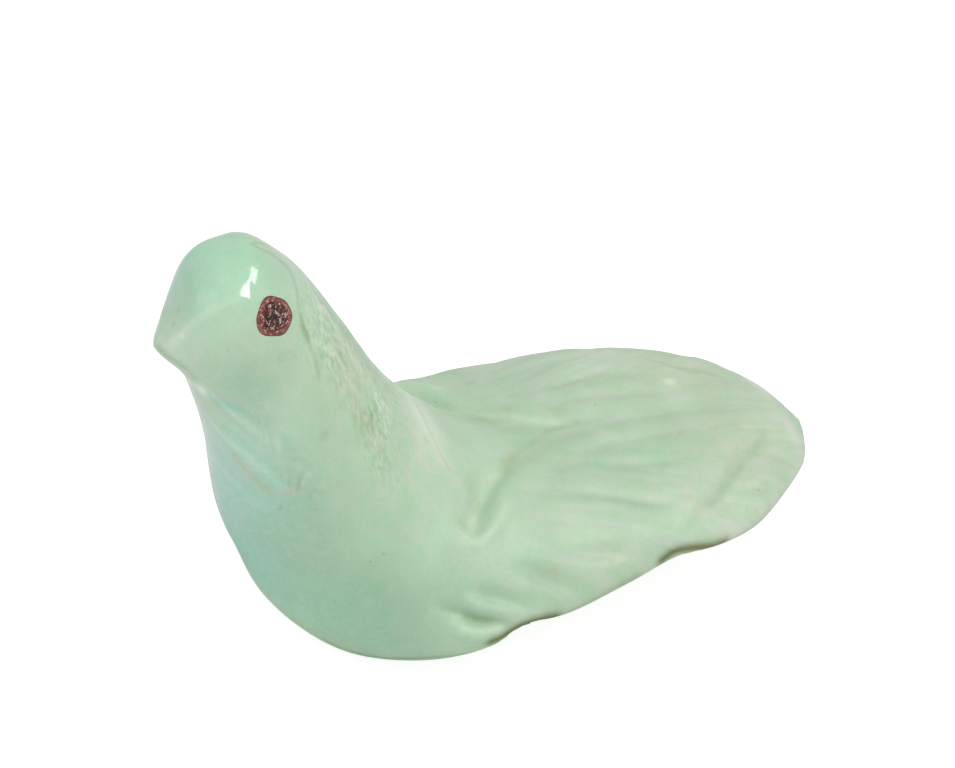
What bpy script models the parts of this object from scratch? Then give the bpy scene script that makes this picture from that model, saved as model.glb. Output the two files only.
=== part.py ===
"""A small bird carved from one pale green stone, with two round inlaid eyes.

The bird faces -Y, its left wing is towards +X, and it sits on a flat rubbed
base at z = 0. The body is a loft: named sections follow the bird from the beak
to the tail, and the carving is then pressed into that skin along short tracks.
A place on the skin is a section number, counted from 0 at the beak tip, and an
angle in degrees from the back line, which is 90 at the widest place.
"""

import bmesh
import bpy
import numpy as np
from mathutils import Vector

MM = 0.001

LENGTH = 52.0 * MM  # beak tip to tail tip
WIDTH = 28.3 * MM  # across both wings, before their lips stand out
HEIGHT = 35.3 * MM  # base to crown

EYE_DIAMETER = 2.6 * MM
EYE_DEPTH = 1.5 * MM  # below the stone's surface
EYE_PROUD = 0.1 * MM  # rim of the inlay above the stone's surface
EYE_DOME = 0.15 * MM  # rise of its face from rim to middle
EYE_ROUNDING = 0.1 * MM  # slope between its face and its side
EYE_PLACE = (3.52, 49.0)  # section number and degrees from the back line
FIT_GAP = 0.3 * MM  # clearance of an inlay in its socket
ROUND_STEPS = 28  # sides of an inlay and of its socket
FACE_RINGS = 4  # rings in the domed face of an inlay

# Each section runs from a point on the back line to one on the belly line.
# y and z are percent of LENGTH and HEIGHT, half width is percent of WIDTH / 2.
# The last three say how high the widest place is, and how full the section is
# above and below it: 2 is an ellipse, more is boxier, 1 is a straight flank.
SECTIONS = (
    # name, back y, back z, belly y, belly z, half width, widest, above, below
    ("beak tip", -50.2, 82.0, -49.8, 76.6, 10.0, 0.45, 2.0, 2.0),
    ("beak", -47.6, 87.0, -46.5, 71.8, 15.6, 0.44, 2.4, 2.0),
    ("face", -44.9, 95.5, -45.0, 63.9, 23.1, 0.44, 2.7, 2.0),
    ("eyes", -37.2, 99.9, -43.4, 50.0, 35.5, 0.52, 2.6, 2.0),
    ("poll", -30.3, 94.0, -42.7, 35.0, 43.6, 0.52, 2.1, 2.0),
    ("upper neck", -22.9, 76.0, -40.4, 22.0, 50.3, 0.49, 1.9, 2.1),
    ("neck", -17.0, 59.5, -37.5, 10.0, 60.5, 0.41, 1.8, 2.2),
    ("neck root", -10.5, 46.8, -30.8, 0.6, 78.2, 0.36, 1.8, 2.2),
    ("shoulders", -5.7, 38.2, -22.2, -3.0, 100.0, 0.44, 2.1, 1.7),
    ("mid back", 4.6, 34.5, -5.5, -9.0, 100.6, 0.59, 2.4, 1.15),
    ("lower back", 16.7, 33.7, 12.6, -7.0, 93.5, 0.67, 2.4, 1.1),
    ("rump", 29.0, 31.3, 27.8, 2.0, 86.0, 0.655, 2.4, 1.3),
    ("tail", 40.4, 28.3, 38.2, 14.1, 63.3, 0.5, 2.2, 2.0),
    ("tail end", 46.4, 24.4, 45.4, 16.1, 39.0, 0.5, 2.0, 2.0),
    ("tail tip", 50.2, 20.1, 49.8, 18.8, 18.3, 0.5, 2.0, 2.0),
)
LAST = len(SECTIONS) - 1

# Rings of the mesh between one section and the next, closest over the wings.
RINGS = (6, 5, 5, 5, 4, 4, 4, 6, 10, 10, 8, 6, 4, 5)
AROUND = 54  # points in each ring
GIRTH_AT = 9.0  # the section whose girth spaces those points
GIRTH_STEPS = 720  # straight steps in which that girth is walked
UNDERSIDE_SHARE = 0.4  # how densely the points lie below, against above

# Cuts of a gouge, the same on both sides of the bird. Depth and the two widths
# are percent of LENGTH. The first width is to the right of the track, seen from
# outside on the bird's left side, and the second to its left. A cut is deepest
# at the given share of its track and runs out at both ends. A negative depth
# leaves a ridge standing instead.
CUTS = (
    # name, track, depth, width right, width left, deepest
    ("wing front", ((7.66, 46), (7.78, 41), (7.94, 33), (8.22, 20), (8.47, 12.5), (8.9, 5)),
     1.75, 1.4, 2.6, 0.4),
    ("wing top", ((8.2, 25), (8.6, 12), (8.88, 5.5), (9.25, 2), (9.7, 1), (10.3, 2)), 0.87, 1.9, 3.0, 0.5),
    ("between wings", ((9.0, 1), (10.4, 0), (11.7, 0), (12.6, 0)), 0.67, 2.1, 2.1, 0.4),
    ("inner feather", ((9.4, 11), (10.0, 9.5), (11.6, 8)), 0.48, 1.3, 1.3, 0.5),
    ("first feather", ((9.6, 16), (9.9, 20), (10.4, 23), (11.1, 20)), 0.6, 1.3, 1.3, 0.4),
    ("second feather", ((9.1, 24), (9.6, 31), (10.1, 42), (10.5, 45)), 0.7, 1.3, 1.3, 0.5),
    ("third feather", ((8.85, 49), (9.19, 56), (9.51, 63), (9.8, 71)), 0.7, 1.3, 1.5, 0.55),
    ("fourth feather", ((8.3, 54), (8.55, 58), (8.8, 67), (9.25, 80)), 0.9, 1.2, 1.5, 0.5),
    ("fifth feather", ((7.7, 64), (8.0, 65.5), (8.3, 69), (8.7, 80)), 1.15, 1.1, 1.5, 0.55),
    ("last feather", ((7.35, 75.5), (7.8, 76.5), (8.1, 79), (8.45, 83)), 2.3, 1.0, 1.6, 0.65),
    ("wing end", ((12.4, 14), (11.7, 25), (11.4, 35), (11.05, 46), (10.7, 57), (10.35, 74)),
     1.35, 1.3, 3.6, 0.55),
    ("tail feather", ((11.9, 37), (12.2, 46), (12.6, 56)), 0.45, 1.2, 1.2, 0.5),
    ("tail edge feather", ((11.35, 53), (11.6, 58), (11.95, 65)), 0.45, 1.2, 1.2, 0.5),
    ("throat", ((1.5, 118), (2.1, 114), (2.9, 107), (3.7, 102), (4.4, 95), (4.9, 87)),
     0.96, 4.2, 1.7, 0.4),
    ("front notch", ((8.79, 120), (8.7, 106), (8.62, 93), (8.53, 80)), 1.8, 3.6, 3.4, 0.4),
    ("back notch", ((10.3, 120), (10.36, 105), (10.44, 90), (10.5, 76)), 1.1, 3.8, 4.9, 0.26),
    ("brow", ((0.6, 43), (1.3, 48), (2.1, 52), (2.5, 49.5), (2.75, 45)), -0.17, 1.4, 1.4, 0.45),
    ("lip of last feather", ((7.5, 83), (7.9, 84), (8.3, 88)), -0.48, 1.3, 1.3, 0.6),
    ("shoulder lip", ((7.67, 49), (7.9, 43), (8.12, 37), (8.3, 30), (8.42, 24)), -0.6, 1.5, 1.5, 0.4),
)
TRACK_STEPS = 16  # straight steps in each track
PROBE = 1e-4  # step in section number and in radians to feel the skin's slope
TINY = 1e-30  # keeps a length of zero out of a division
SHARP_ANGLE = 40.0  # degrees past which an edge is shaded sharp


def smooth(knots, values, at):
    """Cubic through the values, whose slope at a knot is the mean of its two sides."""
    gap = np.diff(knots)
    rise = np.diff(values, axis=0) / gap[:, None]
    slope = np.concatenate([rise[:1], rise, rise[-1:]])
    weight = np.concatenate([gap[:1], gap, gap[-1:]])[:, None]
    slope = (slope[:-1] * weight[1:] + slope[1:] * weight[:-1]) / (weight[1:] + weight[:-1])
    k = np.clip(np.searchsorted(knots, at, side="right") - 1, 0, len(gap) - 1)
    h = gap[k][..., None]
    t = ((at - knots[k]) / gap[k])[..., None]
    from_left = (1 + 2 * t) * (1 - t) ** 2 * values[k] + t * (1 - t) ** 2 * h * slope[k]
    from_right = t**2 * (3 - 2 * t) * values[k + 1] - t**2 * (1 - t) * h * slope[k + 1]
    return from_left + from_right


def section_sizes():
    """Section table in metres, and how far along the bird each section lies."""
    sizes = np.array([row[1:] for row in SECTIONS])
    sizes[:, :5] *= np.array([LENGTH, HEIGHT, LENGTH, HEIGHT, WIDTH / 2]) / 100
    middle = (sizes[:, 0:2] + sizes[:, 2:4]) / 2
    step = np.diff(np.column_stack([middle, sizes[:, 4]]), axis=0)
    return sizes, np.concatenate([[0], np.cumsum(np.linalg.norm(step, axis=1))])


SIZES, REACH = section_sizes()


def skin(along, around):
    """Points of the uncarved skin at section numbers and angles in radians.

    Within a section the height goes with the cosine and the width with the sine
    of the angle, each raised to a power set by how full the section is. Both
    ends close as a quarter circle over the last step between sections.
    """
    along, around = np.broadcast_arrays(np.asarray(along, float), np.asarray(around, float))
    row = smooth(REACH, SIZES, np.interp(along, np.arange(LAST + 1), REACH))
    back, belly = row[..., 0:2], row[..., 2:4]
    half_width, widest, above, below = np.moveaxis(row[..., 4:8], -1, 0)
    to_end = np.clip(np.minimum(along, LAST - along), 0, 1)
    close = np.sqrt(1 - (1 - to_end) ** 2)
    cosine, sine = np.cos(around), np.sin(around)
    full = np.where(cosine > 0, above, below)
    lift = np.abs(cosine) ** (2 / full)
    rise = np.where(cosine > 0, widest + (1 - widest) * lift, widest * (1 - lift))
    rise = 0.5 + (rise - 0.5) * close
    x = half_width * close * np.sign(sine) * np.abs(sine) ** (2 / full)
    profile = belly + (back - belly) * rise[..., None]
    return np.stack([x, profile[..., 0], profile[..., 1]], axis=-1)


def outward(along, around):
    """Unit vectors that point out of the skin, from its slopes both ways."""
    along = np.clip(along, 0, LAST - PROBE)
    lengthwise = skin(along + PROBE, around) - skin(along, around)
    crosswise = skin(along, around + PROBE) - skin(along, around - PROBE)
    normal = np.cross(crosswise, lengthwise)
    size = np.linalg.norm(normal, axis=-1, keepdims=True)
    return normal / np.maximum(size, TINY)


def cut_depth(points, normals, cut):
    """How deep one cut goes at each point: a rounded groove beside its track."""
    _, track, depth, width_right, width_left, deepest = cut
    knots = np.arange(len(track), dtype=float)
    place = smooth(knots, np.array(track, float), np.linspace(0, len(track) - 1, TRACK_STEPS + 1))
    line = skin(place[:, 0], np.radians(place[:, 1]))
    nearest = np.full(points.shape[:-1], np.inf)
    share = np.zeros_like(nearest)
    side = np.zeros_like(nearest)
    for k in range(TRACK_STEPS):
        step = line[k + 1] - line[k]
        away = points - line[k]
        part = np.clip(away @ step / (step @ step), 0, 1)
        away = away - part[..., None] * step
        distance = np.linalg.norm(away, axis=-1)
        closer = distance < nearest
        nearest = np.where(closer, distance, nearest)
        share = np.where(closer, (k + part) / TRACK_STEPS, share)
        side = np.where(closer, (np.cross(step, normals) * away).sum(-1), side)
    width = np.where(side > 0, width_right, width_left) * LENGTH / 100
    run = np.where(share < deepest, share / deepest, (1 - share) / (1 - deepest))
    return depth * LENGTH / 100 * np.sin(run * np.pi / 2) * np.exp(-((nearest / width) ** 2))


def carved(along, around):
    """The skin with every cut pressed in, the left side's cuts mirrored to the right."""
    points = skin(along, around)
    normals = outward(along, around)
    left = np.array([-1.0, 1.0, 1.0])
    mirror = np.where(points[..., :1] < 0, left, 1.0)
    depth = sum(cut_depth(points * mirror, normals * mirror, cut) for cut in CUTS)
    return points - normals * depth[..., None]


def ring_places():
    """Section numbers of the rings, and the angles of the points round a ring."""
    stretches = [k + np.arange(count) / count for k, count in enumerate(RINGS)]
    stretches[0] = 1 - np.cos(stretches[0] * np.pi / 2)
    stretches[-1] = LAST - 1 + np.sin((stretches[-1] - LAST + 1) * np.pi / 2)
    along = np.concatenate(stretches)[1:]
    fine = np.linspace(0, np.pi, GIRTH_STEPS + 1)
    girth = skin(np.full_like(fine, GIRTH_AT), fine)
    step = np.linalg.norm(np.diff(girth, axis=0), axis=1)
    step *= np.where(fine[1:] > np.pi / 2, UNDERSIDE_SHARE, 1.0)
    walked = np.concatenate([[0], np.cumsum(step)])
    half = np.interp(np.linspace(0, walked[-1], AROUND // 2 + 1), walked, fine)
    return along, np.concatenate([-half[::-1][:-1], half[:-1]])


def make_body(collection, material):
    """The stone: rings joined into a closed skin, cut off flat at the base."""
    along, around = ring_places()
    grid = carved(along[:, None], around[None, :])
    rings, count = grid.shape[:2]
    bm = bmesh.new()
    verts = [[bm.verts.new(point) for point in ring] for ring in grid]
    ends = [bm.verts.new(skin(place, 0.0)) for place in (0.0, float(LAST))]
    for k in range(count):
        after = (k + 1) % count
        bm.faces.new((ends[0], verts[0][k], verts[0][after]))
        bm.faces.new((ends[1], verts[-1][after], verts[-1][k]))
        for ring in range(rings - 1):
            bm.faces.new((verts[ring][k], verts[ring + 1][k],
                          verts[ring + 1][after], verts[ring][after]))
    everything = bm.verts[:] + bm.edges[:] + bm.faces[:]
    bmesh.ops.bisect_plane(bm, geom=everything, plane_co=(0, 0, 0), plane_no=(0, 0, -1),
                           clear_outer=True)
    rim = [edge for edge in bm.edges if edge.is_boundary]
    bmesh.ops.edgeloop_fill(bm, edges=rim)
    bmesh.ops.recalc_face_normals(bm, faces=bm.faces)
    return new_object("bird_body", bm, collection, material)


def make_eye(name, collection, material):
    """A round inlay turned from its profile: domed face, straight side, flat back."""
    radius = EYE_DIAMETER / 2
    shares = np.linspace(0.0, 1.0, FACE_RINGS + 1)
    profile = [((radius - EYE_ROUNDING) * share, EYE_PROUD + EYE_DOME * (1 - share**2))
               for share in shares]
    profile.append((radius, EYE_PROUD - EYE_ROUNDING))
    profile.append((radius, -EYE_DEPTH))
    profile.append((0.0, -EYE_DEPTH))
    bm = bmesh.new()
    verts = [bm.verts.new((x, 0.0, z)) for x, z in profile]
    for first, second in zip(verts, verts[1:]):
        bm.edges.new((first, second))
    eye = new_object(name, bm, collection, material)
    turn = eye.modifiers.new("turned", "SCREW")
    turn.axis = "Z"
    turn.steps = ROUND_STEPS
    turn.render_steps = ROUND_STEPS
    turn.use_merge_vertices = True
    turn.merge_threshold = 0.00001
    return eye


def make_socket(name, collection, material):
    """The round cutter that leaves an inlay its clearance."""
    bm = bmesh.new()
    radius = EYE_DIAMETER / 2 + FIT_GAP
    top = radius  # far enough out to clear the curve of the head
    bottom = -EYE_DEPTH - FIT_GAP
    bmesh.ops.create_cone(bm, cap_ends=True, segments=ROUND_STEPS, depth=top - bottom,
                          radius1=radius, radius2=radius)
    bmesh.ops.translate(bm, verts=bm.verts, vec=(0, 0, (top + bottom) / 2))
    socket = new_object(name, bm, collection, material)
    socket.hide_render = True
    socket.display_type = "WIRE"
    return socket


def new_object(name, bm, collection, material):
    """Turns a bmesh into a named object in a collection."""
    mesh = bpy.data.meshes.new(name)
    bm.to_mesh(mesh)
    bm.free()
    mesh.materials.append(material)
    thing = bpy.data.objects.new(name, mesh)
    collection.objects.link(thing)
    return thing


def new_collection(name):
    """An empty collection in the scene."""
    collection = bpy.data.collections.new(name)
    bpy.context.scene.collection.children.link(collection)
    return collection


def new_material(name, colour, roughness):
    """A plain Principled finish."""
    material = bpy.data.materials.new(name)
    material.use_nodes = True
    shader = material.node_tree.nodes["Principled BSDF"]
    shader.inputs["Base Color"].default_value = (*colour, 1.0)
    shader.inputs["Roughness"].default_value = roughness
    shader.inputs["Metallic"].default_value = 0.0
    return material


def set_in_head(thing, side):
    """Stands a piece on the skin at the eye's place, its Z axis pointing out."""
    along, degrees = EYE_PLACE
    around = np.radians(degrees) * side
    thing.location = Vector(skin(along, around))
    thing.rotation_euler = Vector(outward(along, around)).to_track_quat("Z", "Y").to_euler()


def main():
    """Builds the bird in an emptied scene."""
    for thing in list(bpy.data.objects):
        bpy.data.objects.remove(thing, do_unlink=True)
    bird = new_collection("bird_carving")
    cutters = new_collection("cutters")
    stone = new_material("pale green stone", (0.43, 0.60, 0.43), 0.3)
    inlay = new_material("dark red inlay", (0.11, 0.045, 0.04), 0.35)
    tool = new_material("cutter", (0.8, 0.3, 0.1), 0.8)
    body = make_body(bird, stone)
    for name, side in (("left", 1), ("right", -1)):
        eye = make_eye("eye_" + name, bird, inlay)
        socket = make_socket("socket_" + name, cutters, tool)
        set_in_head(eye, side)
        set_in_head(socket, side)
        cut = body.modifiers.new("socket " + name, "BOOLEAN")
        cut.operation = "DIFFERENCE"
        cut.solver = "EXACT"
        cut.object = socket
    body.data.shade_smooth()
    body.data.set_sharp_from_angle(angle=np.radians(SHARP_ANGLE))


main()
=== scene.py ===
# %% [markdown]
# A small bird carved from one pale green stone
#
# The real thing is a pebble of soft stone, cut to the outline of a sitting bird,
# rounded with a rasp, grooved with a small gouge for the feathers and rubbed
# smooth until it shines like wax. A round inlay is set into each side of the head.
#
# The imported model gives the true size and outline. This script makes the same
# bird again as one fine surface, adds the marks that the hand left on it, and
# gives stone and inlay their finish.

import bpy
import bmesh
import numpy as np
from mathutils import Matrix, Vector


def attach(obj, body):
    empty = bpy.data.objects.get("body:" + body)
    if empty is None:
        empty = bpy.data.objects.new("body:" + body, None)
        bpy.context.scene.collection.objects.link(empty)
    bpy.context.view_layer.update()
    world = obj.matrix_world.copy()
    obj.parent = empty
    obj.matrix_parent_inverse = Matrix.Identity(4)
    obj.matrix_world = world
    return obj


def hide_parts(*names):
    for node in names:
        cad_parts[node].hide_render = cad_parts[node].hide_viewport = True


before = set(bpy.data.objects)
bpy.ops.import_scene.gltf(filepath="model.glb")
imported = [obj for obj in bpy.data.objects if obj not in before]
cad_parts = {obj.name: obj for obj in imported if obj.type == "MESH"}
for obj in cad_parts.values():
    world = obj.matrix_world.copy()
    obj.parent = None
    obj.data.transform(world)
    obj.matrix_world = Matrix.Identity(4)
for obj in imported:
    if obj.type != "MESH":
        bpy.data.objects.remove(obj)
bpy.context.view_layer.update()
print("packed nodes:", ", ".join(sorted(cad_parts)))

MM = 0.001

# %% [markdown]
# The skin of the bird
#
# A carved bird has no straight line to measure from, so its form is a loft: a row
# of named sections from the beak to the tail, with a smooth curve through their
# sizes. A place on the skin is a section number and an angle from the back line,
# so a feather or a scratch can be put "on section 8, 54 degrees down" and stays
# there whatever the size of the bird.

# %% Driving sizes and sections
LENGTH = 52.0 * MM  # beak tip to tail tip
WIDTH = 28.3 * MM  # across both wings, before their lips stand out
HEIGHT = 35.3 * MM  # base to crown

# y and z are percent of LENGTH and HEIGHT, half width is percent of WIDTH / 2.
# The last three say how high the widest place is, and how full the section is
# above and below it: 2 is an ellipse, more is boxier, 1 is a straight flank.
SECTIONS = (
    # name, back y, back z, belly y, belly z, half width, widest, above, below
    ("beak tip", -50.2, 82.0, -49.8, 76.6, 10.0, 0.45, 2.0, 2.0),
    ("beak", -47.6, 87.0, -46.5, 71.8, 15.6, 0.44, 2.4, 2.0),
    ("face", -44.9, 95.5, -45.0, 63.9, 23.1, 0.44, 2.7, 2.0),
    ("eyes", -37.2, 99.9, -43.4, 50.0, 35.5, 0.52, 2.6, 2.0),
    ("poll", -30.3, 94.0, -42.7, 35.0, 43.6, 0.52, 2.1, 2.0),
    ("upper neck", -22.9, 76.0, -40.4, 22.0, 50.3, 0.49, 1.9, 2.1),
    ("neck", -17.0, 59.5, -37.5, 10.0, 60.5, 0.41, 1.8, 2.2),
    ("neck root", -10.5, 46.8, -30.8, 0.6, 78.2, 0.36, 1.8, 2.2),
    ("shoulders", -5.7, 38.2, -22.2, -3.0, 100.0, 0.44, 2.1, 1.7),
    ("mid back", 4.6, 34.5, -5.5, -9.0, 100.6, 0.59, 2.4, 1.15),
    ("lower back", 16.7, 33.7, 12.6, -7.0, 93.5, 0.67, 2.4, 1.1),
    ("rump", 29.0, 31.3, 27.8, 2.0, 86.0, 0.655, 2.4, 1.3),
    ("tail", 40.4, 28.3, 38.2, 14.1, 63.3, 0.5, 2.2, 2.0),
    ("tail end", 46.4, 24.4, 45.4, 16.1, 39.0, 0.5, 2.0, 2.0),
    ("tail tip", 50.2, 20.1, 49.8, 18.8, 18.3, 0.5, 2.0, 2.0),
)
LAST = len(SECTIONS) - 1
print(len(SECTIONS), "sections from", SECTIONS[0][0], "to", SECTIONS[LAST][0])


# %% Curve through the sections
def smooth(knots, values, at):
    """Cubic through the values, whose slope at a knot is the mean of its two sides.

    Between knots at t = 0 and t = 1 it is the Hermite cubic
    (1 + 2t)(1 - t)^2 a + t(1 - t)^2 h slope_a + t^2 (3 - 2t) b - t^2 (1 - t) h slope_b.
    """
    gap = np.diff(knots)
    rise = np.diff(values, axis=0) / gap[:, None]
    slope = np.concatenate([rise[:1], rise, rise[-1:]])
    weight = np.concatenate([gap[:1], gap, gap[-1:]])[:, None]
    slope = (slope[:-1] * weight[1:] + slope[1:] * weight[:-1]) / (weight[1:] + weight[:-1])
    k = np.clip(np.searchsorted(knots, at, side="right") - 1, 0, len(gap) - 1)
    h = gap[k][..., None]
    t = ((at - knots[k]) / gap[k])[..., None]
    from_left = (1 + 2 * t) * (1 - t) ** 2 * values[k] + t * (1 - t) ** 2 * h * slope[k]
    from_right = t**2 * (3 - 2 * t) * values[k + 1] - t**2 * (1 - t) * h * slope[k + 1]
    return from_left + from_right


def section_sizes():
    """Section table in metres, and how far along the bird each section lies."""
    sizes = np.array([row[1:] for row in SECTIONS])
    sizes[:, :5] *= np.array([LENGTH, HEIGHT, LENGTH, HEIGHT, WIDTH / 2]) / 100
    middle = (sizes[:, 0:2] + sizes[:, 2:4]) / 2
    step = np.diff(np.column_stack([middle, sizes[:, 4]]), axis=0)
    return sizes, np.concatenate([[0], np.cumsum(np.linalg.norm(step, axis=1))])


SIZES, REACH = section_sizes()
print(f"walk from beak to tail along the sections: {REACH[-1] / MM:.0f} mm")


# %% Points and normals of the uncarved skin
PROBE = 1e-4  # step in section number and in radians to feel the skin's slope
TINY = 1e-30  # keeps a length of zero out of a division


def skin(along, around):
    """Points of the skin at section numbers and angles in radians.

    In a section, width = half width * sign(sin a) * |sin a|^(2 / full) and the
    share of the height goes with |cos a|^(2 / full), a superellipse whose upper
    and lower halves differ. Both ends close as a quarter circle over one section.
    """
    along, around = np.broadcast_arrays(np.asarray(along, float), np.asarray(around, float))
    row = smooth(REACH, SIZES, np.interp(along, np.arange(LAST + 1), REACH))
    back, belly = row[..., 0:2], row[..., 2:4]
    half_width, widest, above, below = np.moveaxis(row[..., 4:8], -1, 0)
    to_end = np.clip(np.minimum(along, LAST - along), 0, 1)
    close = np.sqrt(1 - (1 - to_end) ** 2)
    cosine, sine = np.cos(around), np.sin(around)
    full = np.where(cosine > 0, above, below)
    lift = np.abs(cosine) ** (2 / full)
    rise = np.where(cosine > 0, widest + (1 - widest) * lift, widest * (1 - lift))
    rise = 0.5 + (rise - 0.5) * close
    x = half_width * close * np.sign(sine) * np.abs(sine) ** (2 / full)
    profile = belly + (back - belly) * rise[..., None]
    return np.stack([x, profile[..., 0], profile[..., 1]], axis=-1)


def outward(along, around):
    """Unit normal: the cross product of the skin's slopes both ways."""
    along = np.clip(along, 0, LAST - PROBE)
    lengthwise = skin(along + PROBE, around) - skin(along, around)
    crosswise = skin(along, around + PROBE) - skin(along, around - PROBE)
    normal = np.cross(crosswise, lengthwise)
    size = np.linalg.norm(normal, axis=-1, keepdims=True)
    return normal / np.maximum(size, TINY)


crown = skin(3.2, 0.0)
print("crown of the plain skin at", (crown / MM).round(1), "mm")

# %% [markdown]
# The carving
#
# Every groove on the stone is the path of one tool. A track is a smooth curve
# through a few places on the skin, and the skin sinks beside it by
# depth * exp(-(distance / width)^2), deepest part of the way along and running
# out at both ends. The two sides of a cut have their own widths, because a gouge
# that is held at a slant leaves one steep wall and one gentle slope. A negative
# depth leaves a ridge. The same function draws scratches and coloured veins.

# %% Large cuts
# Depth and widths are percent of LENGTH. The first width is to the right of the
# track, seen from outside on the bird's left side, and the second to its left.
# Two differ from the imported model: the brow stops short of the highlight over the
# eye, and the last feather is finer.
CUTS = (
    # name, track, depth, width right, width left, deepest
    ("wing front", ((7.66, 46), (7.78, 41), (7.94, 33), (8.22, 20), (8.47, 12.5), (8.9, 5)),
     1.75, 1.4, 2.6, 0.4),
    ("wing top", ((8.2, 25), (8.6, 12), (8.88, 5.5), (9.25, 2), (9.7, 1), (10.3, 2)), 0.87, 1.9, 3.0, 0.5),
    ("between wings", ((9.0, 1), (10.4, 0), (11.7, 0), (12.6, 0)), 0.67, 2.1, 2.1, 0.4),
    ("inner feather", ((9.4, 11), (10.0, 9.5), (11.6, 8)), 0.48, 1.3, 1.3, 0.5),
    ("first feather", ((9.6, 16), (9.9, 20), (10.4, 23), (11.1, 20)), 0.6, 1.3, 1.3, 0.4),
    ("second feather", ((9.1, 24), (9.6, 31), (10.1, 42), (10.5, 45)), 0.7, 1.3, 1.3, 0.5),
    ("third feather", ((8.85, 49), (9.19, 56), (9.51, 63), (9.8, 71)), 0.7, 1.3, 1.5, 0.55),
    ("fourth feather", ((8.3, 54), (8.55, 58), (8.8, 67), (9.25, 80)), 0.9, 1.2, 1.5, 0.5),
    ("fifth feather", ((7.7, 64), (8.0, 65.5), (8.3, 69), (8.7, 80)), 1.15, 1.1, 1.5, 0.55),
    ("last feather", ((7.35, 75.5), (7.8, 76.5), (8.1, 79), (8.45, 83)), 2.0, 0.8, 1.3, 0.65),
    ("wing end", ((12.4, 14), (11.7, 25), (11.4, 35), (11.05, 46), (10.7, 57), (10.35, 74)),
     1.35, 1.3, 3.6, 0.55),
    ("tail feather", ((11.9, 37), (12.2, 46), (12.6, 56)), 0.45, 1.2, 1.2, 0.5),
    ("tail edge feather", ((11.35, 53), (11.6, 58), (11.95, 65)), 0.45, 1.2, 1.2, 0.5),
    ("throat", ((1.5, 118), (2.1, 114), (2.9, 107), (3.7, 102), (4.4, 95), (4.9, 87)),
     0.96, 4.2, 1.7, 0.4),
    ("front notch", ((8.79, 120), (8.7, 106), (8.62, 93), (8.53, 80)), 1.8, 3.6, 3.4, 0.4),
    ("back notch", ((10.3, 120), (10.36, 105), (10.44, 90), (10.5, 76)), 1.1, 3.8, 4.9, 0.26),
    ("brow", ((0.6, 43), (1.1, 47), (1.6, 51), (2.1, 53)), -0.17, 1.4, 1.4, 0.5),
    ("lip of last feather", ((7.5, 83), (7.9, 84), (8.3, 88)), -0.48, 1.3, 1.3, 0.6),
    ("shoulder lip", ((7.67, 49), (7.9, 43), (8.12, 37), (8.3, 30), (8.42, 24)), -0.6, 1.5, 1.5, 0.4),
)
TRACK_STEPS = 16  # straight steps in each track


def track_line(track):
    """Points along a track: the smooth curve through its places, laid on the skin."""
    knots = np.arange(len(track), dtype=float)
    place = smooth(knots, np.array(track, float), np.linspace(0, len(track) - 1, TRACK_STEPS + 1))
    return skin(place[:, 0], np.radians(place[:, 1]))


def beside_track(points, normals, line):
    """For each point: distance to the line, share of the way along it, and its side."""
    nearest = np.full(points.shape[:-1], np.inf)
    share = np.zeros_like(nearest)
    side = np.zeros_like(nearest)
    for k in range(TRACK_STEPS):
        step = line[k + 1] - line[k]
        away = points - line[k]
        part = np.clip(away @ step / (step @ step), 0, 1)
        away = away - part[..., None] * step
        distance = np.linalg.norm(away, axis=-1)
        closer = distance < nearest
        nearest = np.where(closer, distance, nearest)
        share = np.where(closer, (k + part) / TRACK_STEPS, share)
        side = np.where(closer, (np.cross(step, normals) * away).sum(-1), side)
    return nearest, share, side


def cut_depth(points, normals, cut):
    """How deep one cut goes: depth * sin(run) * exp(-(distance / width)^2)."""
    _, track, depth, width_right, width_left, deepest = cut
    nearest, share, side = beside_track(points, normals, track_line(track))
    width = np.where(side > 0, width_right, width_left) * LENGTH / 100
    run = np.where(share < deepest, share / deepest, (1 - share) / (1 - deepest))
    return depth * LENGTH / 100 * np.sin(run * np.pi / 2) * np.exp(-((nearest / width) ** 2))


def all_cuts(points, normals):
    """Depth of every large cut together, the left side's cuts mirrored to the right."""
    left = np.array([-1.0, 1.0, 1.0])
    mirror = np.where(points[..., :1] < 0, left, 1.0)
    return sum(cut_depth(points * mirror, normals * mirror, cut) for cut in CUTS)


print(len(CUTS), "large cuts on each side")

# %% [markdown]
# What the hand left
#
# A surface that was filed and rubbed by hand is never quite even. Long low waves
# come from the rasp and shorter ones from the rubbing. They are sums of cosine
# waves in fixed, seeded directions, and they only ever take stone away, so the
# bird stays inside its measured outline.

# %% Waves of the rasp
WAVE_COUNT = 24  # cosine waves in one sum
WAVE_SPREAD = (0.7, 1.5)  # shortest and longest wave, against the size asked for
WAVE_FLATNESS = 5  # the field usually swings by 0.7 / WAVE_FLATNESS from 0.5


def waves(points, size, seed):
    """Smooth random field from 0 to 1: a mean of cosines whose wavelengths lie round size."""
    rng = np.random.default_rng(seed)
    direction = rng.normal(size=(WAVE_COUNT, 3))
    direction /= np.linalg.norm(direction, axis=1, keepdims=True)
    direction /= size * rng.uniform(*WAVE_SPREAD, (WAVE_COUNT, 1))
    phase = rng.uniform(0, 2 * np.pi, WAVE_COUNT)
    field = np.cos(points @ direction.T * 2 * np.pi + phase).mean(axis=-1)
    return np.clip(0.5 + field * np.sqrt(WAVE_COUNT) / WAVE_FLATNESS, 0, 1)


RASP_WAVE = 6.0 * MM
RASP_DEPTH = 0.10 * MM
RASP_SEED = 11
RUB_WAVE = 2.2 * MM
RUB_DEPTH = 0.035 * MM
RUB_SEED = 12


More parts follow.
